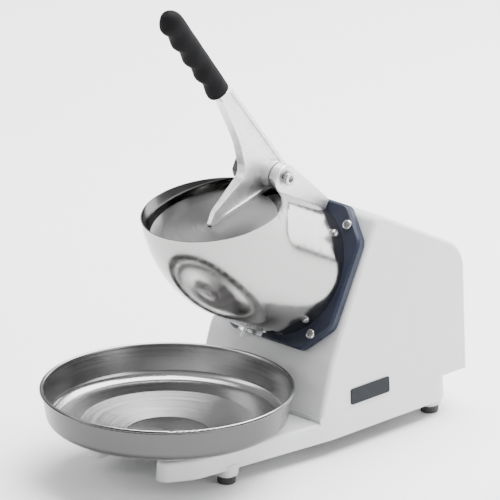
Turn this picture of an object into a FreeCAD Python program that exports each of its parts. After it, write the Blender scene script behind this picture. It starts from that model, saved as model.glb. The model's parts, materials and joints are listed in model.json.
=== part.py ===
"""Counter-top shaved ice machine, as separate sub-parts. Millimetres, +Z up, the front towards -Y.

The origin is on the counter, under the middle of the object's box. The hopper, its plate and the motor
share one tilted axis. They are drawn in the panel frame: x across, y up the sloped panel (called w), z out
of it (called n).
"""

import FreeCAD, Part
import math
import os

V = FreeCAD.Vector

# ---- Driving dimensions ----

# Catch bowl, a spun sheet dish that stands on the tongue of the base tray
bowl_radius = 120.0
bowl_height = 49.0
bowl_sheet = 1.2
bowl_bead = 1.9
bowl_gap = 0.1                      # under the loose bowl
bowl_disc_radius = 39.0             # raised disc in the middle of the floor
bowl_y = -96.5

# Base tray
foot_height = 8.0
tray_bottom = 16.0                  # lower edge of the tray's skirt
tongue_top = 35.0
seam_height = 40.0                  # where the housing shell stands on the tray
tray_rear = 204.2
tray_half_width = 85.0
taper_end = 38.0                    # where the sides become parallel
taper_radius = 120.0
shoulder = (66.5, -124.0, 40.0)     # of the tongue, on the right: x, y, corner radius
prong_outer = (50.0, -155.0, 10.0)
prong_inner = (36.0, -149.0, 7.0)
notch_radius = 36.0                 # round notch between the two prongs of the tongue
notch_end = -108.0
rear_corner = 22.0
wall = 3.0
draft = 0.0437                      # side walls lean in by this much per unit of height
foot_front = (61.5, -80.0)
foot_rear = (67.4, 190.0)
foot_radius = 9.0
leg_half = 10.8

# Housing shell, as seen from the side
housing_rear = 225.2
housing_front = 25.5                # foot of the front wall, at the seam
housing_top = 222.0                 # top of the sloped panel
top_slope = 27.7                    # degrees, falling to the back
rear_top_radius = 34.0
edge_radius = 4.5

# Sloped panel and the hopper's axis
panel_angle = 62.9                  # degrees from the horizontal
axis_y = 65.4                       # where the hopper's axis leaves the adaptor plate
axis_z = 162.1
plate_half_width = 74.5
plate_half_height = 72.0
plate_corner_x = 45.5
plate_corner_w = 43.0
plate_thickness = 9.0
gasket_thickness = 1.5
plate_screw = 54.2                  # offset of each plate screw, both ways

# Hopper, a cylinder that bends as an elbow about the lever's pivot
hopper_radius = 67.0
hopper_sheet = 1.2
pivot_w = 77.0
pivot_n = 71.0
elbow_sweep = 64.0
mouth_tilt = 9.5
mouth_depth = 243.7                 # height of the mouth's centre
mouth_y = -39.1
spigot_height = 20.0
spigot_wall = 4.6
outlet_half = 24.0                  # ice outlet at the bottom of the hopper's foot
notch_half = 14.5                   # slot in the hopper's back for the lever's hub

# Hinge bracket
lug_inner = 14.0
lug_outer = 24.0
lug_front = 82.4
lug_radius = 13.0
lug_foot_w = 72.5
lug_slope = 0.264

# Lever
plate_tilt = 14.8                   # of the pusher plate at rest
pusher_radius = 61.5
pusher_reach = 78.0                 # pivot to the pusher's centre, along its plane
pusher_drop = 13.5                  # pivot to the pusher's top face
pusher_sheet = 2.0
rib_half = 5.0
rib_width = 3.2
web_half = 3.2
hub_radius = 13.0
hub_half = 12.6
pivot_radius = 4.0
grip_length = 113.8
grip_lean = 52.4                    # degrees above the horizontal, towards the front
grip_start = (-65.6, 96.3)          # from the pivot
finger_pitch = 24.0

# Cutter and motor, along the hopper's axis
disc_radius = 64.0
disc_back = 22.0
disc_thickness = 4.5
shaft_radius = 6.0
shaft_back = -137.0
running_gap = 0.03
stator_radius = 44.0
stator_front = -45.0
stator_back = -95.0
bell_depth = 25.0
rotor_radius = 25.4
bracket_half = 61.0
bracket_thickness = 3.0

# Controls on the back
switch_x = -55.0
switch_z = 92.0
gland_x = 50.0
rear_fittings = 7.0                 # how far the cord gland stands out behind the housing
gland_z = 62.0
cord_radius = 3.6

# Name plate on the right side
badge_low = (64.3, 44.0)
badge_size = (52.0, 15.4, 1.2)


# ---- Helpers ----

def rounded_wire(corners, place):
    """A closed wire through corners (a, b, radius), each rounded by an arc. place(a, b) puts it in space."""
    count = len(corners)
    runs = []
    for i, (a, b, radius) in enumerate(corners):
        here = V(a, b, 0)
        back = (V(*corners[i - 1][:2], 0) - here).normalize()
        on = (V(*corners[(i + 1) % count][:2], 0) - here).normalize()
        if radius == 0:
            runs.append((here, None, here))
            continue
        half = back.getAngle(on) / 2
        reach = radius / math.tan(half)
        middle = (back + on).normalize() * (radius / math.sin(half) - radius)
        runs.append((here + back * reach, here + middle, here + on * reach))
    edges = []
    for i, (start, middle, end) in enumerate(runs):
        following = runs[(i + 1) % count][0]
        if middle is not None:
            edges.append(Part.Arc(*[place(p.x, p.y) for p in (start, middle, end)]).toShape())
        if (following - end).Length > 1e-6:
            edges.append(Part.LineSegment(place(end.x, end.y), place(following.x, following.y)).toShape())
    return Part.Wire(edges)


def offset_corners(corners, distance):
    """The same outline moved inwards by distance, for corners that run anticlockwise."""
    count = len(corners)
    moved = []
    for i, (a, b, radius) in enumerate(corners):
        here = V(a, b, 0)
        back = (here - V(*corners[i - 1][:2], 0)).normalize()
        on = (V(*corners[(i + 1) % count][:2], 0) - here).normalize()
        inward = V(-back.y, back.x, 0) + V(-on.y, on.x, 0)
        scale = distance * 2 / (inward.Length ** 2)
        point = here + inward * scale
        hollow = back.x * on.y - back.y * on.x < 0
        turned = radius + distance if hollow else max(radius - distance, 0.5)
        moved.append((point.x, point.y, turned if radius else 0))
    return moved


def prism_x(corners, low, high):
    """An outline of (y, z, radius) corners, extruded across the machine from x = low to x = high."""
    wire = rounded_wire(corners, lambda a, b: V(low, a, b))
    return Part.Face(wire).extrude(V(high - low, 0, 0))


def prism_z(corners, low, high):
    """An outline of (x, y, radius) corners, extruded upwards from z = low to z = high."""
    wire = rounded_wire(corners, lambda a, b: V(a, b, low))
    return Part.Face(wire).extrude(V(0, 0, high - low))


def spun(corners):
    """An outline of (radius, z, corner radius) turned about the Z axis."""
    return Part.Face(rounded_wire(corners, lambda a, b: V(a, 0, b))).revolve(V(0, 0, 0), V(0, 0, 1), 360)


def rod(radius, low, high, x=0.0, y=0.0):
    """A cylinder along Z."""
    return Part.makeCylinder(radius, high - low, V(x, y, low))


def ring(inner, outer, low, high):
    return rod(outer, low, high).cut(rod(inner, low, high))


def block(x0, x1, y0, y1, z0, z1):
    return Part.makeBox(x1 - x0, y1 - y0, z1 - z0, V(x0, y0, z0))


def rectangle(x0, x1, y0, y1, radius):
    """Corners of an upright rectangle with rounded corners, anticlockwise."""
    return [(x0, y0, radius), (x1, y0, radius), (x1, y1, radius), (x0, y1, radius)]


def mirrored(shape):
    """The same shape on the other side of the machine."""
    return shape.mirror(V(0, 0, 0), V(1, 0, 0))


def moved(shape, placement):
    placed = shape.copy()
    placed.Placement = placement.multiply(placed.Placement)
    return placed


def group(shapes):
    return Part.makeCompound(shapes)


PANEL = FreeCAD.Placement(V(0, axis_y, axis_z), FreeCAD.Rotation(V(1, 0, 0), panel_angle))
PIVOT = PANEL.multVec(V(0, pivot_w, pivot_n))
# Lever frame: x across, y along the pusher plate to the front, z up from it, at the pivot
ABOUT_FACE = FreeCAD.Rotation(V(0, 0, 1), 180)
LEVER = FreeCAD.Placement(PIVOT, FreeCAD.Rotation(V(1, 0, 0), plate_tilt).multiply(ABOUT_FACE))


def on_panel(shape):
    return moved(shape, PANEL)


def pan_screw(head_radius, head_height, shank_radius, length):
    """A pan-head screw along Z: its head above z = 0, its shank below."""
    head = rod(head_radius, 0, head_height)
    rim = [e for e in head.Edges if abs(e.BoundBox.ZMin - head_height) < 1e-6 and e.BoundBox.XLength > 1]
    head = head.makeFillet(head_height * 0.6, rim)
    arm = head_radius * 0.62
    slot = head_radius * 0.13
    depth = head_height * 0.55
    cross = block(-arm, arm, -slot, slot, depth, head_height + 1)
    cross = cross.fuse(block(-slot, slot, -arm, arm, depth, head_height + 1))
    return head.cut(cross).fuse(rod(shank_radius, -length, 0)).removeSplitter()


def placed_at(shape, point, direction):
    """shape, drawn along Z, put at point with its Z axis along direction."""
    return moved(shape, FreeCAD.Placement(point, FreeCAD.Rotation(V(0, 0, 1), direction)))


# ---- Base tray, bottom cover and feet ----

def tray_outline(inset, forked, rear):
    """Plan of the tray and housing sides, anticlockwise, with every side moved in by inset."""
    half = [shoulder, (tray_half_width, taper_end, taper_radius), (tray_half_width, rear, rear_corner)]
    if forked:
        half = [(notch_radius, notch_end, notch_radius), prong_inner, prong_outer] + half
    corners = half + [(-x, y, radius) for x, y, radius in reversed(half)]
    return offset_corners(corners, inset)


def drafted(inset, low, high, forked=False, rear=tray_rear):
    """The plan outline between two heights, leaning in with the draft of the moulding."""
    wires = []
    for z in (low, high):
        corners = tray_outline(inset + draft * (z - tray_bottom), forked, rear)
        wires.append(rounded_wire(corners, lambda a, b, z=z: V(a, b, z)))
    return Part.makeLoft(wires, True, True)


FEET = {
    "foot_front_left": (-foot_front[0], foot_front[1]),
    "foot_front_right": foot_front,
    "foot_rear_left": (-foot_rear[0], foot_rear[1]),
    "foot_rear_right": foot_rear,
}
HOUSING_BOSSES = [(-75.5, 62.0), (75.5, 62.0), (-75.5, 158.0), (75.5, 158.0)]
COVER_BOSSES = [(-68.0, 42.0), (68.0, 42.0), (-68.0, 140.0), (68.0, 140.0)]
boss_radius = 5.5
cover_low = 17.5
cover_sheet = 1.2
deck_low = tongue_top - wall
screw_clear = 2.2
screw_shank = 1.9
pilot = 1.95


def leg(x, y):
    wires = []
    for z, half in ((foot_height, leg_half - 1.2), (tray_bottom + 4, leg_half)):
        corners = rectangle(x - half, x + half, y - half, y + half, 7.0)
        wires.append(rounded_wire(corners, lambda a, b, z=z: V(a, b, z)))
    post = Part.makeLoft(wires, True, True)
    return post.fuse(rod(leg_half - 3, tray_bottom + 4, deck_low + 1, x, y))


def base_tray():
    """Forked tongue in front, and a block under the housing whose sides run on flush into the housing's."""
    tongue = drafted(0, tray_bottom, tongue_top, forked=True)
    top_rim = [e for e in tongue.Edges if e.BoundBox.ZMin > tongue_top - 0.01]
    tongue = tongue.makeFillet(3.0, top_rim)
    under_housing = block(-100, 100, housing_front - 1.0, 300, 0, 100)
    tray = tongue.fuse(drafted(0, tray_bottom, seam_height).common(under_housing))
    tray = tray.cut(drafted(wall, tray_bottom - 1, deck_low, forked=True))
    for x, y in FEET.values():
        tray = tray.fuse(leg(x, y))
    for x, y in COVER_BOSSES:
        tray = tray.fuse(rod(boss_radius, cover_low + cover_sheet, deck_low + 1, x, y))
    cuts = [prism_z(rectangle(-50, 50, 92, 138, 10), deck_low - 1, seam_height + 1)]
    cuts += [rod(pilot, foot_height - 1, 24, x, y) for x, y in FEET.values()]
    cuts += [rod(pilot, cover_low, deck_low - 4, x, y) for x, y in COVER_BOSSES]
    cuts += [rod(screw_clear, deck_low - 1, seam_height + 1, x, y) for x, y in HOUSING_BOSSES]
    return tray.cut(group(cuts)).removeSplitter()


def bottom_cover():
    """A sheet that closes the tray under the motor, with air slots."""
    sheet = prism_z(rectangle(-76, 76, 32, 150, 8), cover_low, cover_low + cover_sheet)
    slots = [rod(screw_clear, cover_low - 1, cover_low + 3, x, y) for x, y in COVER_BOSSES]
    for i in range(6):
        y = 70.0 + 9 * i
        slots.append(prism_z(rectangle(-30, 30, y, y + 4, 1.9), cover_low - 1, cover_low + 3))
    return sheet.cut(group(slots))


def cover_screws():
    screw = pan_screw(3.8, 2.2, screw_shank, 9.0)
    return group([placed_at(screw, V(x, y, cover_low), V(0, 0, -1)) for x, y in COVER_BOSSES])


def housing_screws():
    screw = pan_screw(3.8, 2.4, screw_shank, 20.0)
    return group([placed_at(screw, V(x, y, deck_low), V(0, 0, -1)) for x, y in HOUSING_BOSSES])


def rubber_foot(x, y):
    profile = [
        (2.3, 4.0, 0), (4.8, 4.0, 0), (4.8, 0, 0.4), (foot_radius - 0.5, 0, 1.2),
        (foot_radius, foot_height, 0.6), (2.3, foot_height, 0),
    ]
    return moved(spun(profile), FreeCAD.Placement(V(x, y, 0), FreeCAD.Rotation()))


def foot_screws():
    screw = pan_screw(4.4, 2.6, screw_shank, 18.0)
    return group([placed_at(screw, V(x, y, 4.0), V(0, 0, -1)) for x, y in FEET.values()])


# ---- Housing shell ----

def panel_point(w, n):
    """(y, z) of a point on the middle plane, given in the panel frame."""
    point = PANEL.multVec(V(0, w, n))
    return point.y, point.z


def housing_profile():
    """Side outline of the shell, anticlockwise from the foot of the back wall."""
    surface = -(plate_thickness + gasket_thickness)
    knee = panel_point(-75.0, surface)
    start = panel_point(0, surface)
    top_y = start[0] + (housing_top - start[1]) / math.tan(math.radians(panel_angle))
    rear_z = housing_top - (housing_rear - top_y) * math.tan(math.radians(top_slope))
    return [
        (housing_front, seam_height, 0),
        (housing_rear, seam_height, 0),
        (housing_rear, rear_z, rear_top_radius),
        (top_y, housing_top, 10.0),
        (*knee, 30.0),
    ]


def housing_form(inset):
    """The shell's outside moved in by inset, closed, and long enough at the bottom to cut the shell open."""
    corners = offset_corners(housing_profile(), inset)
    low = 20.0 if inset else seam_height
    corners[0] = (corners[0][0], low, 0)
    corners[1] = (corners[1][0], low, 0)
    side = prism_x(corners, -120, 120)
    plan = drafted(inset, low, housing_top + 20, rear=housing_rear + 65)
    form = side.common(plan)
    edges = [e for e in form.Edges if on_side_edge(e, low)]
    return form.makeFillet(max(edge_radius - inset, 2.0), edges)


def on_side_edge(edge, low):
    """True for the edges where the side walls meet the front, top and back of the shell."""
    box = edge.BoundBox
    across = box.XLength > 30
    flat = box.ZMax < low + 0.01
    corner = abs(edge.CenterOfMass.x) > 50
    return corner and not across and not flat and box.ZLength + box.YLength > 1.0 and not plan_seam(edge)


def plan_seam(edge):
    """True for the lines inside a side wall where the taper ends."""
    box = edge.BoundBox
    return box.YLength < 6 and box.ZLength > 20 and taper_end - 20 < edge.CenterOfMass.y < taper_end + 20


def housing_shell():
    """Open at the bottom over the tray, with its own floor where it stands out behind the tray."""
    shell = housing_form(0).cut(housing_form(wall))
    floor_start = tray_rear - rear_corner - 2
    rear_floor = block(-100, 100, floor_start, housing_rear, seam_height, seam_height + wall)
    shell = shell.fuse(rear_floor.common(housing_form(0.5)))
    for x, y in HOUSING_BOSSES:
        shell = shell.fuse(rod(boss_radius, seam_height, seam_height + 24, x, y).common(housing_form(0.5)))
    cuts = [rod(pilot, seam_height - 1, seam_height + 18, x, y) for x, y in HOUSING_BOSSES]
    cuts.append(on_panel(rod(22.0, -30, 0)))
    for x in (-plate_screw, plate_screw):
        for w in (-plate_screw, plate_screw):
            cuts.append(on_panel(rod(2.6, -30, 0, x, w)))
    cuts.append(block(switch_x - 9.6, switch_x + 9.6, 200, 230, switch_z - 13.6, switch_z + 13.6))
    cuts.append(Part.makeCylinder(8.05, 40, V(gland_x, 190, gland_z), V(0, 1, 0)))
    for i in range(6):
        z = 112.0 + 7 * i
        slot = prism_x(rectangle(200, 230, z, z + 3.0, 0), -24, 34)
        cuts.append(slot)
    return shell.cut(group(cuts)).removeSplitter()


def name_plate():
    """A blank plate on the right side, low at the front."""
    length, height, thickness = badge_size
    y, z = badge_low
    plate = Part.makeBox(thickness, length, height)
    upright = [e for e in plate.Edges if abs(e.BoundBox.XLength - thickness) < 1e-6]
    plate = plate.makeFillet(2.0, upright)
    lean = -math.degrees(math.atan(draft))
    foot = V(tray_half_width - draft * (z - tray_bottom) + 0.02, y, z)
    return moved(plate, FreeCAD.Placement(foot, FreeCAD.Rotation(V(0, 1, 0), lean)))


# ---- Adaptor plate, gasket and hopper ----

def octagon(inset):
    corners = []
    for sx, sw in ((-1, -1), (1, -1), (1, 1), (-1, 1)):
        flat_first = sx * sw < 0
        on_end = (sx * plate_corner_x, sw * plate_half_height, 12.0)
        on_side = (sx * plate_half_width, sw * plate_corner_w, 16.0)
        corners += [on_end, on_side] if flat_first else [on_side, on_end]
    return offset_corners(corners, inset)


def outlet_cut(low, high):
    """The ice outlet, cut down through the foot of the hopper."""
    return block(-outlet_half, outlet_half, -hopper_radius - 20, -40, low, high)


def radial(shape, angle, distance, n):
    """shape, drawn along Z, put on the hopper's side at an angle from the X axis."""
    turn = math.radians(angle)
    out = V(math.cos(turn), math.sin(turn), 0)
    return placed_at(shape, out * distance + V(0, 0, n), out)


SIDE_SCREWS = (40, 140, 220, 320)
side_screw_n = 10.0


def adaptor_plate():
    """Octagonal flange with a round spigot that the hopper's foot slips over."""
    plate = prism_z(octagon(0), -plate_thickness, 0)
    rim = [e for e in plate.Edges if e.BoundBox.ZMin > -0.01]
    plate = plate.makeChamfer(2.2, rim)
    outer = hopper_radius - hopper_sheet - 0.05
    plate = plate.fuse(ring(outer - spigot_wall, outer, -1, spigot_height))
    cuts = [rod(12.0, -20, 10), outlet_cut(3.0, spigot_height + 1)]
    for x in (-plate_screw, plate_screw):
        for w in (-plate_screw, plate_screw):
            cuts.append(rod(2.6, -20, 10, x, w))
    for angle in SIDE_SCREWS:
        cuts.append(radial(rod(pilot, 0, 20), angle, 55.0, side_screw_n))
    cuts += rivet_holes()
    return on_panel(plate.cut(group(cuts)).removeSplitter())


def plate_gasket():
    gasket = prism_z(octagon(2.0), -plate_thickness - gasket_thickness, -plate_thickness)
    cuts = [rod(22.0, -20, 0)]
    for x in (-plate_screw, plate_screw):
        for w in (-plate_screw, plate_screw):
            cuts.append(rod(2.6, -20, 10, x, w))
    return on_panel(gasket.cut(group(cuts)))


def plate_screws():
    screw = pan_screw(4.8, 3.0, 2.4, 18.0)
    corners = [(x, w) for x in (-plate_screw, plate_screw) for w in (-plate_screw, plate_screw)]
    return on_panel(group([placed_at(screw, V(x, w, 0), V(0, 0, 1)) for x, w in corners]))


def elbow_solid(radius):
    """A filled cylinder and elbow of one radius, in the panel frame."""
    straight = rod(radius, 0, pivot_n)
    circle = Part.Face(Part.Wire(Part.makeCircle(radius, V(0, 0, pivot_n), V(0, 0, 1))))
    bend = circle.revolve(V(0, pivot_w, pivot_n), V(-1, 0, 0), elbow_sweep)
    return straight.fuse(bend).removeSplitter()


def above_mouth(lift=0.0):
    """Everything above the plane of the hopper's mouth."""
    big = Part.makeBox(400, 400, 200, V(-200, -200, 0))
    turn = FreeCAD.Rotation(V(1, 0, 0), mouth_tilt)
    return moved(big, FreeCAD.Placement(V(0, mouth_y, mouth_depth + lift), turn))


def hub_notch():
    """Slot through the hopper's back wall, where the lever's hub turns."""
    slot = block(-notch_half, notch_half, 45, 100, 54, 140)
    return slot.fuse(placed_at(rod(notch_half, 0, 60), V(0, 45, 54), V(0, 1, 0)))


def hopper():
    shell = elbow_solid(hopper_radius).cut(elbow_solid(hopper_radius - hopper_sheet))
    cuts = [hub_notch(), outlet_cut(3.0, spigot_height - 1)]
    cuts += [radial(rod(pilot, 0, 20), angle, 55.0, side_screw_n) for angle in SIDE_SCREWS]
    cuts.append(radial(rod(1.6, 0, 30), 270, 55.0, lip_screw_n))
    cuts += rivet_holes()
    return on_panel(shell.cut(group(cuts))).cut(above_mouth())


def hopper_screws():
    screw = pan_screw(3.6, 1.5, screw_shank, 7.0)
    seat = hopper_radius + 0.2
    return on_panel(group([radial(screw, angle, seat, side_screw_n) for angle in SIDE_SCREWS]))


lip_screw_n = 31.0
lip_sheet = 1.5
lip_half = 15.0
lip_end = 40.0
lip_drop = 4.5


def chute_lip():
    """A curved strip under the hopper, turned down at its back edge to throw the ice into the bowl."""
    low = spigot_height + 1
    strip = ring(hopper_radius + 0.05, hopper_radius + lip_sheet, low, lip_end)
    strip = strip.common(block(-lip_half, lip_half, -80, -40, 0, 60))
    flange = block(-lip_half, lip_half, -hopper_radius - lip_drop, -60, low, low + lip_sheet)
    lip = strip.fuse(flange.cut(rod(hopper_radius + 0.05, 0, 60)))
    lip = lip.cut(radial(rod(1.6, 0, 30), 270, 55.0, lip_screw_n))
    return on_panel(lip.removeSplitter())


def chute_screw():
    """A short screw from inside the hopper, with its dome head on the sheet."""
    head = rod(3.4, 0, 1.6)
    screw = head.fuse(rod(1.5, -12.5, 0))
    inside = hopper_radius - hopper_sheet - 0.15
    return on_panel(placed_at(screw, V(0, -inside, lip_screw_n), V(0, 1, 0)))


def hex_nut(across, height, bore):
    """A hexagonal nut along Z from z = 0."""
    reach = across / 2 / math.cos(math.pi / 6)
    points = [(reach * math.cos(math.pi / 3 * i), reach * math.sin(math.pi / 3 * i), 0) for i in range(6)]
    nut = prism_z(points, 0, height).common(rod(reach * 0.97, 0, height))
    return nut.cut(rod(bore, -1, height + 1))


def chute_nut():
    nut = hex_nut(6.5, 3.0, 1.53)
    return on_panel(placed_at(nut, V(0, -hopper_radius - lip_sheet - 0.02, lip_screw_n), V(0, -1, 0)))


# ---- Hinge bracket, pivot and interlock switch ----

RIVETS = ((-8.0, 14.0), (8.0, 14.0), (-8.0, 30.0), (8.0, 30.0))
bridge_end = 38.0
bridge_top = 71.5


def rivet_holes():
    return [placed_at(rod(pilot, 0, 20), V(x, 58, n), V(0, 1, 0)) for x, n in RIVETS]


def in_wn(corners, low, high):
    """An outline of (n, w, radius) corners in the panel frame, extruded across from x = low to x = high."""
    wire = rounded_wire(corners, lambda n, w: V(low, w, n))
    return Part.Face(wire).extrude(V(high - low, 0, 0))


def hinge_bracket():
    """Two thick lugs and the bridge that joins them, shaped to sit on the hopper."""
    peak = lug_foot_w + (lug_front - 2) * lug_slope
    lug_line = [(2, 40, 0), (lug_front, 40, 0), (lug_front, peak, lug_radius), (2, lug_foot_w, 3.0)]
    lug = in_wn(lug_line, lug_inner, lug_outer)
    outer_rim = [e for e in lug.Edges if e.BoundBox.XMin > lug_outer - 0.01 and e.BoundBox.YMin > 60]
    lug = lug.makeFillet(1.2, outer_rim)
    bridge_line = [(4, 40, 0), (bridge_end, 40, 0), (bridge_end, bridge_top, 3), (4, bridge_top, 3)]
    bridge = in_wn(bridge_line, -lug_inner, lug_inner)
    bracket = lug.fuse(mirrored(lug)).fuse(bridge).cut(elbow_solid(hopper_radius + 0.02))
    bore = Part.makeCylinder(pivot_radius + 0.05, 80, V(-40, pivot_w, pivot_n), V(1, 0, 0))
    pin = Part.makeCylinder(plunger_radius + 0.15, 20, V(-lug_outer - 5, plunger_w, plunger_n), V(1, 0, 0))
    case_holes = [Part.makeCylinder(1.45, 9, V(-lug_outer, w, n), V(1, 0, 0)) for w, n in CASE_SCREWS]
    bracket = bracket.cut(group([bore, pin] + rivet_holes() + case_holes))
    return on_panel(max(bracket.Solids, key=lambda s: s.Volume))


def bracket_rivets():
    rivet = rod(3.4, 0, 1.5)
    top = [e for e in rivet.Edges if e.BoundBox.ZMin > 1.49]
    rivet = rivet.makeFillet(1.2, top).fuse(rod(screw_shank, -7.5, 0))
    return on_panel(group([placed_at(rivet, V(x, bridge_top + 0.02, n), V(0, 1, 0)) for x, n in RIVETS]))


pivot_washer = 1.6


def pivot_bolt():
    """Socket-head bolt through both lugs; its head is on the right."""
    start = lug_outer + pivot_washer
    head = rod(6.2, 0, 5.0)
    face = [e for e in head.Edges if e.BoundBox.ZMin > 4.99]
    head = head.makeFillet(0.8, face)
    socket = hex_nut(6.0, 3.0, 0.1).fuse(rod(0.2, 0, 3))
    socket.translate(V(0, 0, 2.4))
    bolt = head.cut(socket).fuse(rod(pivot_radius, -(start + lug_outer + 7.5), 0))
    return on_panel(placed_at(bolt, V(start, pivot_w, pivot_n), V(1, 0, 0)))


def pivot_washers():
    washer = ring(pivot_radius + 0.1, 7.8, 0, pivot_washer)
    right = placed_at(washer, V(lug_outer, pivot_w, pivot_n), V(1, 0, 0))
    thrust = ring(pivot_radius + 0.1, 7.6, 0, 1.0)
    sides = (hub_half + 0.35, -hub_half - 1.35)
    inner = [placed_at(thrust, V(x, pivot_w, pivot_n), V(1, 0, 0)) for x in sides]
    return on_panel(group([right] + inner))


def pivot_nut():
    nut = hex_nut(13.0, 6.5, pivot_radius + 0.05)
    return on_panel(placed_at(nut, V(-lug_outer, pivot_w, pivot_n), V(-1, 0, 0)))


plunger_radius = 2.0
plunger_w = pivot_w - 3.5
plunger_n = pivot_n - 9.5
CASE_SCREWS = ((84.0, 57.0), (67.5, 56.0))
case_depth = 11.0


def interlock_case():
    """Black box on the left lug. It covers the pivot's nut and holds the plunger."""
    corners = [(52, 63.6, 2), (76.5, 63.6, 2), (81.5, 69.2, 2), (81.5, 88, 3), (62, 90, 3), (52, 85, 3)]
    outer = -lug_outer - case_depth
    case = in_wn(corners, outer, -lug_outer - 0.02)
    rim = [e for e in case.Edges if e.BoundBox.XMax < outer + 0.01]
    case = case.makeFillet(1.5, rim)
    nut_room = Part.makeCylinder(8.2, 8.5, V(-lug_outer - 8.5, pivot_w, pivot_n), V(1, 0, 0))
    pin_room = Part.makeCylinder(3.9, 7.0, V(-lug_outer - 7.0, plunger_w, plunger_n), V(1, 0, 0))
    screws = [Part.makeCylinder(1.55, 30, V(outer - 5, w, n), V(1, 0, 0)) for w, n in CASE_SCREWS]
    seats = [Part.makeCylinder(2.9, 3.0, V(outer - 1, w, n), V(1, 0, 0)) for w, n in CASE_SCREWS]
    case = case.cut(group([nut_room, pin_room] + screws + seats))
    return on_panel(case.cut(rod(hopper_radius + 0.1, 0, pivot_n + 30)))


def interlock_screws():
    screw = pan_screw(2.7, 1.8, 1.4, 16.0)
    seat = -lug_outer - case_depth + 2.0
    return on_panel(group([placed_at(screw, V(seat, w, n), V(-1, 0, 0)) for w, n in CASE_SCREWS]))


def interlock_plunger():
    """Sprung pin that feels the lever's hub through the left lug."""
    pin = rod(plunger_radius, 0, 15.2).fuse(rod(3.4, 0, 1.6))
    return on_panel(placed_at(pin, V(-lug_outer - 4.4, plunger_w, plunger_n), V(1, 0, 0)))


# ---- Lever ----

horn_tip = 86.0
tip_half = 2.2
taper_from = 25.0


def lever_outline():
    """Side of the arm in the lever frame, anticlockwise: underside, horn, inner corner, neck, back edge."""
    corners = [
        (-17.5, -pusher_drop, 13.0),
        (82.6, -pusher_drop, 0.6),
        (85.0, -12.0, 1.2),
        (75.5, -2.0, 9.0),
        (29.8, 15.5, 15.0),
        (30.0, 50.0, 90.0),
        (42.0, 106.0, 0),
        (25.6, 106.0, 0),
        (-19.5, 1.5, 9.0),
    ]
    return corners


def lever_pocket():
    """Recess on each side of the arm, inside its edge ribs."""
    corners = [(*corner[:2], max(corner[2], 4.0)) for corner in lever_outline() if corner[0] < 80]
    corners.insert(1, (79.0, -pusher_drop, 4.0))
    recess = in_lever(offset_corners(corners, rib_width), web_half, rib_half + 1)
    return recess


def horn_taper():
    """Room that narrows along the horn, so that it ends in a thin tip."""
    wide = rib_half + 1
    corners = [(-wide, -60, 0), (wide, -60, 0), (wide, taper_from, 0), (tip_half, horn_tip, 0)]
    corners += [(-tip_half, horn_tip, 0), (-wide, taper_from, 0)]
    return prism_z(corners, -60, 160)


def grip_frame():
    """The grip's own frame: z along it to its tip, y to the back, at its lower end."""
    lean = FreeCAD.Rotation(V(1, 0, 0), 90 - grip_lean)
    return FreeCAD.Placement(PIVOT + V(0, *grip_start), lean)


def tang():
    """The arm's flat end inside the grip."""
    tip = grip_length - 22
    bar = block(-4.0, 4.0, -6.0, 6.0, -10, tip)
    long_edges = [e for e in bar.Edges if e.BoundBox.ZLength > 50]
    return moved(bar.makeFillet(1.5, long_edges), grip_frame())


def lever_arm():
    """Casting: a web with raised edge ribs, a hub at the pivot and a horn that carries the pusher plate."""
    solid = in_lever(lever_outline(), -rib_half, rib_half).common(horn_taper())
    pocket = lever_pocket()
    solid = solid.cut(pocket).cut(mirrored(pocket))
    solid = solid.fuse(Part.makeCylinder(hub_radius, 2 * hub_half, V(-hub_half, 0, 0), V(1, 0, 0)))
    solid = solid.cut(Part.makeCylinder(bush_radius, 60, V(-30, 0, 0), V(1, 0, 0)))
    solid = solid.cut(group([rod(1.95, -20, -pusher_drop + 9, 0, y) for y in PUSHER_SCREWS]))
    arm = moved(solid, LEVER).fuse(tang())
    return arm.removeSplitter()


def in_lever(corners, low, high):
    wire = rounded_wire(corners, lambda a, b: V(low, a, b))
    return Part.Face(wire).extrude(V(high - low, 0, 0))


PUSHER_SCREWS = (38.0, 66.0)
bush_radius = 6.5


def pivot_bush():
    bush = ring(pivot_radius + 0.05, bush_radius, -hub_half, hub_half)
    return on_panel(placed_at(bush, V(0, pivot_w, pivot_n), V(1, 0, 0)))


dome_start = 0.86                   # share of the grip's length where its tip starts to close


def grip_section(z):
    """(front reach, back reach, half width) of the grip at a height along it."""
    share = z / grip_length
    wave = math.cos(2 * math.pi * (z - 5.0) / finger_pitch)
    front = 9.6 + 1.7 * share + 1.4 * wave
    back = 10.9 + 1.6 * share
    side = 10.4 + 0.9 * share
    if z < 8:
        front += 1.6 * (1 - z / 8)
    if share > dome_start:
        closing = math.sqrt(max(1 - ((share - dome_start) / (1.004 - dome_start)) ** 2, 0.02))
        front, back, side = front * closing, back * closing, side * closing
    return front, back, side


def lever_grip():
    """Moulded rubber grip with finger waves on its front and a domed tip."""
    wires = []
    body_stations = [0, 3] + [6 * i for i in range(1, 17)]
    dome_stations = [grip_length - rest for rest in (12, 7.5, 4, 1.6, 0.2)]
    for z in body_stations + dome_stations:
        front, back, side = grip_section(z)
        reach = (front + back) / 2
        middle = V(0, (back - front) / 2, z)
        if reach >= side:
            oval = Part.Ellipse(middle + V(0, reach, 0), middle + V(side, 0, 0), middle)
        else:
            oval = Part.Ellipse(middle + V(side, 0, 0), middle + V(0, reach, 0), middle)
        wires.append(Part.Wire(oval.toShape()))
    body = Part.makeLoft(wires, True, False)
    return moved(body, grip_frame()).cut(lever_arm())


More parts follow.
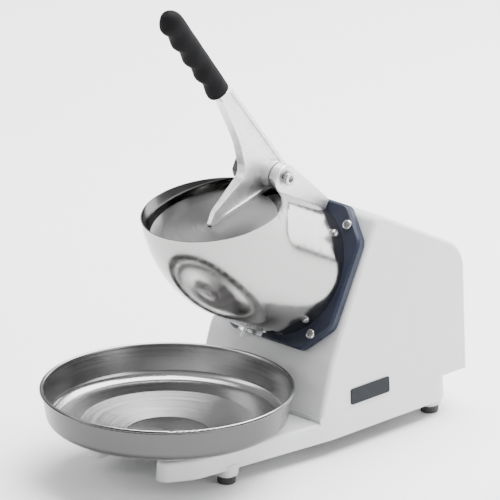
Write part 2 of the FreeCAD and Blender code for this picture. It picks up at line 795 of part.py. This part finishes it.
def pusher_plate():
    """Round sheet with a rolled rim; the arm's horn stands on its top face."""
    bead = 1.5
    disc = rod(pusher_radius - bead, -pusher_sheet, 0)
    disc = disc.fuse(Part.makeTorus(pusher_radius - bead, bead, V(0, 0, -bead)))
    disc = disc.removeSplitter()
    disc.translate(V(0, pusher_reach, -pusher_drop - 0.02))
    return moved(disc.cut(group([rod(2.0, -30, 0, 0, y) for y in PUSHER_SCREWS])), LEVER)


def pusher_screws():
    screw = pan_screw(3.6, 1.6, 1.85, 10.0)
    seat = -pusher_drop - pusher_sheet - 0.04
    screws = [placed_at(screw, V(0, y, seat), V(0, 0, -1)) for y in PUSHER_SCREWS]
    return moved(group(screws), LEVER)


# ---- Cutter ----

disc_front = disc_back + disc_thickness
knife_top = disc_front + 0.8
KNIFE_SCREWS = (24.0, 48.0)


def half_turns(shape):
    return [shape, moved(shape, FreeCAD.Placement(V(0, 0, 0), FreeCAD.Rotation(V(0, 0, 1), 180)))]


def cutter_disc():
    """Disc with two ice slots, a seat for each knife, and paddles behind that sweep the ice to the outlet."""
    disc = rod(disc_radius, disc_back, disc_front).fuse(rod(14.0, 6, disc_back))
    paddle = block(12, 58, -2, 2, 7, disc_back)
    slot = prism_z(rectangle(15, 58, -9, -1.5, 2), disc_back - 1, disc_front + 1)
    seat = block(14.9, 58.1, -3.1, 14.1, disc_front - 1.2, disc_front + 1)
    paddle.rotate(V(0, 0, 0), V(0, 0, 1), 60)
    for part in half_turns(paddle):
        disc = disc.fuse(part)
    cuts = [rod(shaft_radius + 0.02, 0, 40)]
    for part in (slot, seat):
        cuts += half_turns(part)
    for x in KNIFE_SCREWS:
        cuts += half_turns(rod(1.55, disc_back - 1, disc_front + 1, x, 8))
    return on_panel(disc.cut(group(cuts)).removeSplitter())


def knife():
    """Flat blade with a bevelled cutting edge that stands over the ice slot."""
    low = disc_front - 1.18
    outline = [(-3, low + 0.9, 0), (-3, knife_top, 0), (14, knife_top, 0), (14, low, 0), (0, low, 0)]
    wire = rounded_wire(outline, lambda a, b: V(15, a, b))
    blade = Part.Face(wire).extrude(V(43, 0, 0))
    return blade.cut(group([rod(1.55, 0, 60, x, 8) for x in KNIFE_SCREWS]))


def knife_screws():
    screw = pan_screw(2.8, 1.3, 1.5, 5.0)
    screws = [placed_at(screw, V(x, 8, knife_top + 0.02), V(0, 0, 1)) for x in KNIFE_SCREWS]
    return on_panel(group([part for screw in screws for part in half_turns(screw)]))


def hub_nut():
    """Domed nut that holds the disc on the shaft."""
    nut = hex_nut(15.0, 5.0, shaft_radius + 0.02)
    dome = ring(shaft_radius + 0.02, 7.0, 5.0, 7.0)
    cap = nut.fuse(dome)
    cap.translate(V(0, 0, disc_front + 0.02))
    return on_panel(cap)


def drive_shaft():
    shaft = rod(shaft_radius, shaft_back, disc_front + 7.5)
    ends = [e for e in shaft.Edges if e.BoundBox.ZLength < 0.01]
    return on_panel(shaft.makeChamfer(0.8, ends))


def rotor_core():
    core = ring(shaft_radius + 0.02, rotor_radius, stator_back, stator_front)
    cuts = []
    for i in range(18):
        turn = math.radians(20 * i)
        cuts.append(rod(1.4, stator_back, stator_front, 22.5 * math.cos(turn), 22.5 * math.sin(turn)))
    return on_panel(core.cut(group(cuts)))


def cooling_fan():
    """Seven-blade fan on the back end of the shaft."""
    low = shaft_back + 2
    fan = ring(shaft_radius + 0.02, 11.0, low, low + 12)
    for i in range(7):
        blade = block(9, 35, -1.0, 1.0, low + 1, low + 11)
        blade.rotate(V(0, 0, low + 6), V(1, 0, 0), 25)
        blade.rotate(V(0, 0, 0), V(0, 0, 1), 360 / 7 * i)
        fan = fan.fuse(blade)
    return on_panel(fan.cut(rod(shaft_radius + 0.02, low - 5, low + 20)).removeSplitter())


# ---- Motor ----

TIE_BOLTS = [(47 * math.cos(math.radians(a)), 47 * math.sin(math.radians(a))) for a in (45, 135, 225, 315)]
bracket_back = -(plate_thickness + gasket_thickness + wall) - bracket_thickness


def with_ears(shape, low, high):
    for x, w in TIE_BOLTS:
        shape = shape.fuse(rod(5.0, low, high, x, w))
    return shape


def tie_holes(low, high):
    return group([rod(2.05, low, high, x, w) for x, w in TIE_BOLTS])


def motor_bracket():
    """Steel plate behind the panel: the plate screws end in it and the motor hangs on it."""
    outline = rectangle(-bracket_half, bracket_half, -bracket_half, bracket_half, 12)
    plate = prism_z(outline, bracket_back, bracket_back + bracket_thickness - 0.02)
    cuts = [rod(17.0, -40, 0), tie_holes(-40, 0)]
    for x in (-plate_screw, plate_screw):
        for w in (-plate_screw, plate_screw):
            cuts.append(rod(2.45, -40, 0, x, w))
    return on_panel(plate.cut(group(cuts)))


def front_bell():
    """End cover with the front bearing's seat."""
    low = stator_front
    high = bracket_back - 0.02
    bell = with_ears(rod(stator_radius, low, high), low, high)
    cavity = ring(20.0, stator_radius - 4, low - 1, high - 4)
    cavity = cavity.fuse(rod(20.5, low - 1, high - 16))
    seat = rod(16.0, low - 1, high - 4)
    cuts = [cavity, seat, rod(shaft_radius + 2, low, high + 1), tie_holes(low - 1, high + 1)]
    return on_panel(bell.cut(group(cuts)).removeSplitter())


def rear_bell():
    low = stator_back - bell_depth
    high = stator_back
    bell = with_ears(rod(stator_radius, low, high), low, high)
    cavity = ring(20.0, stator_radius - 4, low + 4, high + 1)
    cavity = cavity.fuse(rod(20.5, low + 16, high + 1))
    seat = rod(16.0, low + 4, high + 1)
    cuts = [cavity, seat, rod(shaft_radius + 2, low - 1, high), tie_holes(low - 1, high + 1)]
    return on_panel(bell.cut(group(cuts)).removeSplitter())


def bearing(low):
    return on_panel(ring(shaft_radius + running_gap, 15.98, low, low + 10))


def stator_core():
    core = with_ears(ring(26.2, stator_radius, stator_back, stator_front), stator_back, stator_front)
    core = core.cut(tie_holes(stator_back, stator_front)).cut(rod(26.2, stator_back, stator_front))
    return on_panel(core.removeSplitter())


def stator_windings():
    """Copper end turns, front and back."""
    turns = []
    for low, high in ((stator_front + 0.05, stator_front + 9), (stator_back - 9, stator_back - 0.05)):
        loop = ring(27.0, 38.5, low, high)
        rim = [e for e in loop.Edges if e.BoundBox.ZLength < 0.01]
        turns.append(loop.makeFillet(3.0, rim))
    return on_panel(group(turns))


def tie_bolts():
    length = bracket_back - (stator_back - bell_depth) + 2
    bolt = hex_nut(7.0, 3.5, 0.1).fuse(rod(0.2, 0, 3.5)).fuse(rod(2.0, -length, 0))
    back = stator_back - bell_depth - 0.02
    return on_panel(group([placed_at(bolt, V(x, w, back), V(0, 0, -1)) for x, w in TIE_BOLTS]))


def shaft_seal():
    return on_panel(ring(shaft_radius + running_gap, 11.98, -8, -1))


# ---- Electrical parts ----

capacitor_y = 74.0
capacitor_radius = 14.0
capacitor_z = seam_height + capacitor_radius + 2.0


def run_capacitor():
    can = Part.makeCylinder(capacitor_radius, 58, V(-62, capacitor_y, capacitor_z), V(1, 0, 0))
    ends = [e for e in can.Edges if e.BoundBox.XLength < 0.01]
    can = can.makeFillet(1.5, ends)
    for y in (-4, 4):
        can = can.fuse(Part.makeBox(7, 0.8, 5, V(-4.5, capacitor_y + y, capacitor_z - 2.5)))
    return can


def capacitor_clip():
    """Strap that holds the capacitor down on the deck."""
    strap = Part.makeCylinder(capacitor_radius + 1.5, 14, V(-40, capacitor_y, capacitor_z), V(1, 0, 0))
    reach = capacitor_radius + 12
    foot = block(-40, -26, capacitor_y - reach, capacitor_y + reach, seam_height + 0.02, seam_height + 1.6)
    strap = strap.fuse(foot)
    room = Part.makeCylinder(capacitor_radius + 0.05, 80, V(-70, capacitor_y, capacitor_z), V(1, 0, 0))
    below_deck = block(-60, 0, capacitor_y - 40, capacitor_y + 40, 0, seam_height + 0.02)
    return strap.cut(room).cut(below_deck).removeSplitter()


def terminal_block():
    base = block(14, 58, 66, 82, seam_height + 0.02, seam_height + 13)
    cuts = []
    for i in range(4):
        x = 19.5 + 11 * i
        cuts.append(rod(2.2, seam_height + 6, seam_height + 20, x, 74))
        cuts.append(Part.makeCylinder(1.9, 30, V(x, 60, seam_height + 4.5), V(0, 1, 0)))
    return base.cut(group(cuts))


rocker_depth = 4.0                  # of the rocker's pin inside the back wall
rocker_tilt = 9.0


def rocker_pin(radius, half):
    start = V(switch_x - half, housing_rear - rocker_depth, switch_z)
    return Part.makeCylinder(radius, 2 * half, start, V(1, 0, 0))


def switch_body():
    """Snap-in rocker switch body with its bezel on the back wall."""
    x, z = switch_x, switch_z
    bezel_line = rectangle(x - 10.8, x + 10.8, z - 15, z + 15, 2.0)
    bezel = prism_y(bezel_line, housing_rear + 0.02, housing_rear + 2.0)
    core = block(x - 9.5, x + 9.5, housing_rear - 24, housing_rear + 0.5, z - 13.5, z + 13.5)
    body = bezel.fuse(core)
    room = block(x - 7.0, x + 7.0, housing_rear - 10, housing_rear + 5, z - 10.8, z + 10.8)
    body = body.cut(room).cut(rocker_pin(1.55, 8.4))
    for tab_z in (z - 7, z, z + 7):
        tab = block(x - 3, x + 3, housing_rear - 32, housing_rear - 24, tab_z - 0.4, tab_z + 0.4)
        body = body.fuse(tab)
    return body.removeSplitter()


def prism_y(corners, low, high):
    """An outline of (x, z, radius) corners, extruded from y = low to y = high."""
    wire = rounded_wire(corners, lambda a, b: V(a, low, b))
    return Part.Face(wire).extrude(V(0, high - low, 0))


def switch_rocker():
    """Rocker, modelled in its off position."""
    x = switch_x
    outline = [(-4.0, -7.5, 1), (6.6, -9.3, 1), (5.2, 0, 12), (6.6, 9.3, 1), (-4.0, 7.5, 1)]
    key = prism_x(outline, x - 6.6, x + 6.6)
    turn = FreeCAD.Rotation(V(1, 0, 0), -rocker_tilt)
    key = moved(key, FreeCAD.Placement(V(0, housing_rear - rocker_depth, switch_z), turn))
    return key.fuse(rocker_pin(1.5, 8.2)).removeSplitter()


def cord_gland():
    """Inlet bushing for the mains cord, snapped into the back wall."""
    profile = [
        (cord_radius, -12, 0), (7.9, -12, 0.5), (7.9, 0.02, 0), (11.5, 0.02, 0), (11.5, 2.5, 0.8),
        (7.8, 3.2, 0.8), (6.8, rear_fittings, 0.8), (cord_radius, rear_fittings, 0),
    ]
    gland = spun(profile)
    return placed_at(gland, V(gland_x, housing_rear, gland_z), V(0, 1, 0))


# ---- Catch bowl ----

def catch_bowl():
    """Spun dish: rolled rim, upright wall, sloped ledge, conical floor and a raised centre disc."""
    top = bowl_height
    inner = [
        (bowl_disc_radius - 1.5, 4.4, 1.0), (bowl_disc_radius, 3.4, 0.8), (82, 13.6, 10), (105, 15.6, 6),
        (112.2, 19.6, 8), (117.0, top - 1.5, 0),
    ]
    outside = offset_corners([(0, 4.4, 0)] + inner + [(0, top + 40, 0)], -bowl_sheet)[1:-1]
    outside[-1] = (inner[-1][0] + bowl_sheet, top - 1.5, 0)
    floor_low = 4.4 - bowl_sheet
    foot = [(0, floor_low, 0), (bowl_disc_radius - 7, floor_low, 1), (bowl_disc_radius - 5.5, 0, 0.4)]
    foot += [(bowl_disc_radius - 1.0, 0, 1.0)]
    line = foot + outside[2:] + inner[::-1] + [(0, 4.4, 0)]
    dish = spun(line)
    bead = Part.makeTorus(bowl_radius - bowl_bead, bowl_bead, V(0, 0, top - bowl_bead))
    dish = dish.fuse(bead).removeSplitter()
    dish.translate(V(0, bowl_y, tongue_top + bowl_gap))
    return dish


# ---- Every sub-part, one STEP file each ----

SUBPARTS = {
    "base_tray": base_tray,
    "bottom_cover": bottom_cover,
    "cover_screws": cover_screws,
    "housing_screws": housing_screws,
    "foot_screws": foot_screws,
    "housing_shell": housing_shell,
    "name_plate": name_plate,
    "adaptor_plate": adaptor_plate,
    "plate_gasket": plate_gasket,
    "plate_screws": plate_screws,
    "hopper": hopper,
    "hopper_screws": hopper_screws,
    "chute_lip": chute_lip,
    "chute_screw": chute_screw,
    "chute_nut": chute_nut,
    "hinge_bracket": hinge_bracket,
    "bracket_rivets": bracket_rivets,
    "pivot_bolt": pivot_bolt,
    "pivot_washers": pivot_washers,
    "pivot_nut": pivot_nut,
    "interlock_case": interlock_case,
    "interlock_screws": interlock_screws,
    "interlock_plunger": interlock_plunger,
    "lever_arm": lever_arm,
    "pivot_bush": pivot_bush,
    "lever_grip": lever_grip,
    "pusher_plate": pusher_plate,
    "pusher_screws": pusher_screws,
    "cutter_disc": cutter_disc,
    "knife_a": lambda: on_panel(half_turns(knife())[0]),
    "knife_b": lambda: on_panel(half_turns(knife())[1]),
    "knife_screws": knife_screws,
    "hub_nut": hub_nut,
    "drive_shaft": drive_shaft,
    "rotor_core": rotor_core,
    "cooling_fan": cooling_fan,
    "motor_bracket": motor_bracket,
    "front_bell": front_bell,
    "rear_bell": rear_bell,
    "front_bearing": lambda: bearing(bracket_back - 0.02 - 4 - 10.5),
    "rear_bearing": lambda: bearing(stator_back - bell_depth + 4.5),
    "stator_core": stator_core,
    "stator_windings": stator_windings,
    "tie_bolts": tie_bolts,
    "shaft_seal": shaft_seal,
    "run_capacitor": run_capacitor,
    "capacitor_clip": capacitor_clip,
    "terminal_block": terminal_block,
    "switch_body": switch_body,
    "switch_rocker": switch_rocker,
    "cord_gland": cord_gland,
    "catch_bowl": catch_bowl,
}
for foot_name, (foot_at_x, foot_at_y) in FEET.items():
    SUBPARTS[foot_name] = lambda x=foot_at_x, y=foot_at_y: rubber_foot(x, y)

# The origin goes under the middle of the box, which runs from the bowl's front to the cord gland
middle_y = (bowl_y - bowl_radius + housing_rear + rear_fittings) / 2
os.makedirs("parts", exist_ok=True)
for name, make in SUBPARTS.items():
    shape = make()
    shape.translate(V(0, -middle_y, 0))
    problem = "" if shape.isValid() and shape.Solids else "  NOT A VALID SOLID"
    print(f"{name}: {len(shape.Solids)} solid(s), {shape.Volume / 1000:.2f} cm3{problem}")
    shape.exportStep(f"parts/{name}.step")
print(f"pivot {PIVOT - V(0, middle_y, 0)}, shaft along {PANEL.Rotation.multVec(V(0, 0, 1))}")
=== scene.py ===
import json
import math

import bpy
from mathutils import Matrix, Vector

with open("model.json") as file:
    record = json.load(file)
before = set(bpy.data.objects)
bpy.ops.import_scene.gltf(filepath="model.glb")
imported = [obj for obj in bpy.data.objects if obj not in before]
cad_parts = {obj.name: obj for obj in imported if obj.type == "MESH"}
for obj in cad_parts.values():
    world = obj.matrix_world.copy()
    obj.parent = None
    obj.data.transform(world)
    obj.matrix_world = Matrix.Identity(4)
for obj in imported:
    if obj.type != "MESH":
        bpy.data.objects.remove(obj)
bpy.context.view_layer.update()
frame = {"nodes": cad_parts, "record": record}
NODES = frame["nodes"]
scene = bpy.context.scene
MM = 0.001

# ---- Frames shared with the CAD, in millimetres: the sloped panel, the lever and the bowl ----

PANEL_ANGLE = math.radians(62.9)
UP = Vector((0, math.cos(PANEL_ANGLE), math.sin(PANEL_ANGLE)))       # w, up the panel
OUT = Vector((0, -math.sin(PANEL_ANGLE), math.cos(PANEL_ANGLE)))     # n, out of it, along the hopper's axis
PANEL_AT = Vector((0, 57.55, 162.1))
PIVOT_W, PIVOT_N = 77.0, 71.0
PIVOT = PANEL_AT + UP * PIVOT_W + OUT * PIVOT_N
PUSHER_TILT = math.radians(14.8)
ALONG = Vector((0, -math.cos(PUSHER_TILT), -math.sin(PUSHER_TILT)))  # along the pusher plate, to the front
PUSHER_REACH = 78.0                                                  # from the pivot to the plate's middle
PUSHER_AT = PIVOT + ALONG * PUSHER_REACH
BOWL_AT = Vector((0, -104.35, 35.1))


# ---- Node material helpers ----

MOULDED_EDGE, CAST_EDGE, PLATED_EDGE = 0.4, 0.8, 0.1                 # shaded edge radii, in millimetres
EDGE_SAMPLES = 6
MIX_FIRST, MIX_SECOND, MIX_COLOR = 6, 7, 2                           # colour sockets of the Mix node


class Paint:
    """A material with a Principled surface, and short calls for the nodes that vary it."""

    def __init__(self, name, color, rough, metal=0.0, edge=0.0, **sockets):
        self.mat = bpy.data.materials.new(name)
        self.mat.use_nodes = True
        self.tree = self.mat.node_tree
        self.surface = self.tree.nodes["Principled BSDF"]
        self.set("Base Color", (*color, 1.0))
        self.set("Roughness", rough)
        self.set("Metallic", metal)
        for key, value in sockets.items():
            self.set(key.replace("_", " "), value)
        self.color, self.rough = color, rough
        self.where = self.node("ShaderNodeTexCoord").outputs["Object"]
        self.height = None
        if edge:
            self.soften(edge)

    def soften(self, radius):
        """Edges catch the light as if they were rounded by this radius in millimetres."""
        made = self.node("ShaderNodeBevel")
        made.samples = EDGE_SAMPLES
        made.inputs["Radius"].default_value = radius * MM
        self.height = made.outputs["Normal"]
        self.link(self.height, self.surface.inputs["Normal"])

    def set(self, socket, value):
        self.surface.inputs[socket].default_value = value

    def node(self, kind, **values):
        made = self.tree.nodes.new(kind)
        for key, value in values.items():
            setattr(made, key, value)
        return made

    def link(self, a, b):
        self.tree.links.new(a, b)

    def centred(self, centre):
        """Coordinates that start at centre, which is given in millimetres."""
        made = self.node("ShaderNodeMapping")
        made.inputs["Location"].default_value = tuple(-c * MM for c in centre)
        self.link(self.where, made.inputs["Vector"])
        return made.outputs["Vector"]

    def noise(self, scale, detail=3.0, rough=0.55, where=None):
        made = self.node("ShaderNodeTexNoise")
        made.inputs["Scale"].default_value = scale
        made.inputs["Detail"].default_value = detail
        made.inputs["Roughness"].default_value = rough
        self.link(where or self.where, made.inputs["Vector"])
        return made.outputs["Fac"]

    def ramp(self, value, low, high, to_low, to_high):
        made = self.node("ShaderNodeMapRange")
        for key, number in (("From Min", low), ("From Max", high), ("To Min", to_low), ("To Max", to_high)):
            made.inputs[key].default_value = number
        self.link(value, made.inputs["Value"])
        return made.outputs["Result"]

    def math(self, operation, a, b):
        made = self.node("ShaderNodeMath", operation=operation)
        for i, value in enumerate((a, b)):
            if isinstance(value, (int, float)):
                made.inputs[i].default_value = value
            else:
                self.link(value, made.inputs[i])
        return made.outputs[0]

    def vary_rough(self, value, spread, low=0.3, high=0.7):
        rough = self.ramp(value, low, high, self.rough - spread, self.rough + spread)
        self.link(rough, self.surface.inputs["Roughness"])

    def vary_color(self, value, other, low=0.35, high=0.65):
        mix = self.node("ShaderNodeMix", data_type="RGBA")
        mix.inputs[MIX_FIRST].default_value = (*self.color, 1.0)
        mix.inputs[MIX_SECOND].default_value = (*other, 1.0)
        self.link(self.ramp(value, low, high, 0.0, 1.0), mix.inputs[0])
        self.link(mix.outputs[MIX_COLOR], self.surface.inputs["Base Color"])

    def bump(self, value, strength, distance):
        made = self.node("ShaderNodeBump")
        made.inputs["Strength"].default_value = strength
        made.inputs["Distance"].default_value = distance * MM
        self.link(value, made.inputs["Height"])
        if self.height is not None:
            self.link(self.height, made.inputs["Normal"])
        self.height = made.outputs["Normal"]
        self.link(self.height, self.surface.inputs["Normal"])


def moulded(name, color, rough, grain, relief, other, **sockets):
    """Moulded plastic or rubber: fine grain, faint larger unevenness."""
    paint = Paint(name, color, rough, edge=MOULDED_EDGE, **sockets)
    paint.bump(paint.noise(grain, detail=2.0), strength=0.5, distance=relief)
    paint.vary_color(paint.noise(28.0, detail=2.0), other)
    paint.vary_rough(paint.noise(grain * 0.25), spread=0.05)
    return paint.mat


def cast(name, color, rough, other):
    """Cast light alloy: coarse sand grain and soft unevenness."""
    paint = Paint(name, color, rough, metal=1.0, edge=CAST_EDGE)
    paint.bump(paint.noise(900.0, detail=4.0, rough=0.7), strength=0.55, distance=0.16)
    paint.bump(paint.noise(90.0, detail=2.0), strength=0.35, distance=0.5)
    paint.vary_color(paint.noise(420.0, detail=4.0, rough=0.7), other)
    paint.vary_rough(paint.noise(160.0), spread=0.08)
    return paint.mat


def plated(name, color, rough):
    """Bright plated or ground steel."""
    paint = Paint(name, color, rough, metal=1.0, edge=PLATED_EDGE)
    paint.vary_rough(paint.noise(300.0), spread=0.05)
    paint.bump(paint.noise(1500.0, detail=2.0), strength=0.15, distance=0.02)
    return paint.mat


def spun_metal(name, color, rough, centre, lean, pitch, strength, anisotropic, shaded_outside=None):
    """Sheet brushed in rings about an axis through centre, which leans from upright by lean.

    pitch and strength are those of the brush lines. The outside colour is painted shade: a darker colour
    painted on the wall's outer face, standing in for the dark surroundings it reflects.
    """
    paint = Paint(name, color, rough, metal=1.0, Anisotropic=anisotropic)
    local = paint.centred(centre)
    turned = paint.node("ShaderNodeVectorRotate", rotation_type="X_AXIS")
    turned.inputs["Angle"].default_value = lean
    paint.link(local, turned.inputs["Vector"])
    parts = paint.node("ShaderNodeSeparateXYZ")
    paint.link(turned.outputs[0], parts.inputs[0])
    x, y, z = parts.outputs
    squares = paint.math("ADD", paint.math("MULTIPLY", x, x), paint.math("MULTIPLY", y, y))
    radius = paint.math("SQRT", squares, 0)
    rings = paint.node("ShaderNodeCombineXYZ")
    paint.link(radius, rings.inputs[0])
    paint.link(z, rings.inputs[1])
    brushed = rings.outputs[0]
    lines = paint.noise(pitch, detail=4.0, rough=0.75, where=brushed)
    paint.bump(lines, strength, distance=0.05)
    waves = paint.noise(60.0, detail=1.0, rough=0.5, where=brushed)
    paint.bump(waves, strength=0.35, distance=0.12)
    paint.vary_rough(paint.noise(pitch * 0.2, detail=2.0, rough=0.5, where=brushed), spread=0.05)
    around = paint.node("ShaderNodeTangent", direction_type="RADIAL", axis="Z")
    paint.link(around.outputs[0], paint.surface.inputs["Tangent"])
    # painted shade: faces that point away from the axis get the darker outside colour
    if shaded_outside:
        away = paint.node("ShaderNodeCombineXYZ")
        paint.link(x, away.inputs[0])
        paint.link(y, away.inputs[1])
        facing = paint.node("ShaderNodeVectorMath", operation="DOT_PRODUCT")
        paint.link(paint.node("ShaderNodeNewGeometry").outputs["True Normal"], facing.inputs[0])
        paint.link(away.outputs[0], facing.inputs[1])
        paint.vary_color(facing.outputs["Value"], shaded_outside, low=0.06, high=0.09)
    return paint.mat


# ---- Materials ----

SHELL = moulded(
    "shell_plastic", (0.60, 0.605, 0.61), 0.42, 1400.0, 0.03, (0.585, 0.59, 0.60), Specular_IOR_Level=0.4
)
ENAMEL = moulded(
    "dark_enamel", (0.018, 0.022, 0.038), 0.42, 900.0, 0.02, (0.023, 0.027, 0.044), Specular_IOR_Level=0.2
)
BLACK = moulded("dark_plastic", (0.012, 0.012, 0.013), 0.42, 1800.0, 0.04, (0.018, 0.018, 0.02))
GRIP = moulded(
    "grip_rubber", (0.006, 0.006, 0.0065), 0.7, 1300.0, 0.05, (0.008, 0.008, 0.009), Specular_IOR_Level=0.08
)
FOOT = moulded("foot_rubber", (0.022, 0.022, 0.022), 0.75, 900.0, 0.08, (0.035, 0.035, 0.035))
SEAL = moulded("seal_rubber", (0.014, 0.014, 0.014), 0.7, 900.0, 0.08, (0.02, 0.02, 0.02))
BADGE = moulded(
    "plate_badge", (0.012, 0.014, 0.017), 0.4, 600.0, 0.01, (0.015, 0.017, 0.02), Specular_IOR_Level=0.12
)
CAST = cast("cast_alloy", (0.84, 0.84, 0.845), 0.46, (0.70, 0.70, 0.705))
CHROME = plated("bright_fixings", (0.45, 0.45, 0.455), 0.2)
TOOL = plated("tool_steel", (0.45, 0.46, 0.475), 0.26)
SHEET = plated("sheet_steel", (0.30, 0.305, 0.31), 0.38)
CAN = plated("can_aluminium", (0.64, 0.64, 0.65), 0.30)
BRASS = plated("bush_brass", (0.60, 0.44, 0.17), 0.28)
COPPER = cast("winding_copper", (0.50, 0.20, 0.07), 0.40, (0.42, 0.16, 0.06))
IRON = cast("core_iron", (0.13, 0.125, 0.125), 0.6, (0.09, 0.09, 0.09))
HOPPER = spun_metal(
    "polished_steel", (0.36, 0.355, 0.35), 0.15, PANEL_AT, -PANEL_ANGLE,
    pitch=900.0, strength=0.15, anisotropic=0.3,
)
BOWL = spun_metal(
    "satin_steel", (0.34, 0.34, 0.34), 0.22, BOWL_AT, 0.0,
    # the outside colour is painted shade on the bowl's outer wall
    pitch=2200.0, strength=0.5, anisotropic=0.7, shaded_outside=(0.09, 0.09, 0.09),
)
# a darker copy of the satin bowl steel for the pusher plate: painted shade
SHADED_PUSHER = spun_metal(
    "pusher_steel_shaded", (0.15, 0.15, 0.152), 0.32, PUSHER_AT, -PUSHER_TILT,
    pitch=2200.0, strength=0.5, anisotropic=0.5,
)

OF_SLOT = {
    "shell_plastic": SHELL,
    "dark_enamel": ENAMEL,
    "dark_plastic": BLACK,
    "grip_rubber": GRIP,
    "foot_rubber": FOOT,
    "seal_rubber": SEAL,
    "plate_badge": BADGE,
    "cast_alloy": CAST,
    "bright_fixings": CHROME,
    "tool_steel": TOOL,
    "sheet_steel": SHEET,
    "can_aluminium": CAN,
    "bush_brass": BRASS,
    "winding_copper": COPPER,
    "core_iron": IRON,
    "polished_steel": HOPPER,
    "satin_steel": BOWL,
}
# pusher_plate takes the darker painted-shade copy of satin steel rather than its slot's material
OF_NODE = {"pusher_plate": SHADED_PUSHER, "chute_lip": SHEET}
for row in frame["record"]["subparts"]:
    mesh = NODES[row["node"]].data
    mesh.materials.clear()
    mesh.materials.append(OF_NODE.get(row["node"], OF_SLOT[row["material_slot"]]))

# ---- Stage, light and camera, in metres ----

FLOOR_REACH = 12.0
CAMERA_AZIMUTH = math.radians(44.53)
CAMERA_ELEVATION = math.radians(19.62)
CAMERA_AIM = Vector((0, 0.00595, 0.1911))
CAMERA_DISTANCE = 7.794
CAMERA_LENS, CAMERA_SENSOR = 597.0, 36.0                             # in millimetres


def area_light(name, at, aim, size, power):
    lamp = bpy.data.lights.new(name, "AREA")
    lamp.shape = "RECTANGLE"
    lamp.size, lamp.size_y = size
    lamp.energy = power
    holder = bpy.data.objects.new(name, lamp)
    scene.collection.objects.link(holder)
    holder.location = at
    holder.rotation_euler = (Vector(aim) - Vector(at)).to_track_quat("-Z", "Y").to_euler()


def make_floor():
    far = FLOOR_REACH
    mesh = bpy.data.meshes.new("floor")
    mesh.from_pydata([(-far, -far, 0), (far, -far, 0), (far, far, 0), (-far, far, 0)], [], [(0, 1, 2, 3)])
    floor = bpy.data.objects.new("floor", mesh)
    scene.collection.objects.link(floor)
    paint = Paint("floor_paint", (0.92, 0.92, 0.92), 0.7, Specular_IOR_Level=0.1)
    paint.vary_color(paint.noise(3.0), (0.91, 0.91, 0.91))
    mesh.materials.append(paint.mat)


def make_world():
    """Soft room light, dim round the horizon and brighter above."""
    world = bpy.data.worlds.new("studio")
    scene.world = world
    world.use_nodes = True
    tree = world.node_tree
    where = tree.nodes.new("ShaderNodeTexCoord")
    parts = tree.nodes.new("ShaderNodeSeparateXYZ")
    tree.links.new(where.outputs["Generated"], parts.inputs[0])
    shade = tree.nodes.new("ShaderNodeMapRange")
    for key, number in (("From Min", 0.0), ("From Max", 0.8), ("To Min", 0.05), ("To Max", 0.9)):
        shade.inputs[key].default_value = number
    tree.links.new(parts.outputs[2], shade.inputs["Value"])
    tree.links.new(shade.outputs["Result"], tree.nodes["Background"].inputs["Strength"])
    tree.nodes["Background"].inputs["Color"].default_value = (1, 1, 1, 1)


def make_lights():
    area_light("overhead", at=(0.05, 0.9, 2.2), aim=(0.0, 0.15, 0), size=(2.5, 2.5), power=270)
    area_light("behind", at=(0.5, 2.8, 0.7), aim=(0, 0, 0.25), size=(2.4, 1.2), power=60)
    area_light("front_left", at=(-1.6, -1.9, 1.5), aim=(0, 0, 0.2), size=(1.2, 1.6), power=32)
    area_light("right", at=(2.6, 0.5, 0.9), aim=(0, 0, 0.25), size=(1.8, 1.6), power=36)


def make_camera():
    data = bpy.data.cameras.new("camera")
    data.sensor_width = CAMERA_SENSOR
    data.lens = CAMERA_LENS
    data.clip_start, data.clip_end = 0.1, 100.0
    camera = bpy.data.objects.new("camera", data)
    scene.collection.objects.link(camera)
    level = math.cos(CAMERA_ELEVATION)
    back = Vector((
        math.sin(CAMERA_AZIMUTH) * level,
        -math.cos(CAMERA_AZIMUTH) * level,
        math.sin(CAMERA_ELEVATION),
    ))
    camera.location = CAMERA_AIM + back * CAMERA_DISTANCE
    camera.rotation_euler = (-back).to_track_quat("-Z", "Y").to_euler()
    scene.camera = camera


make_floor()
make_world()
make_lights()
make_camera()
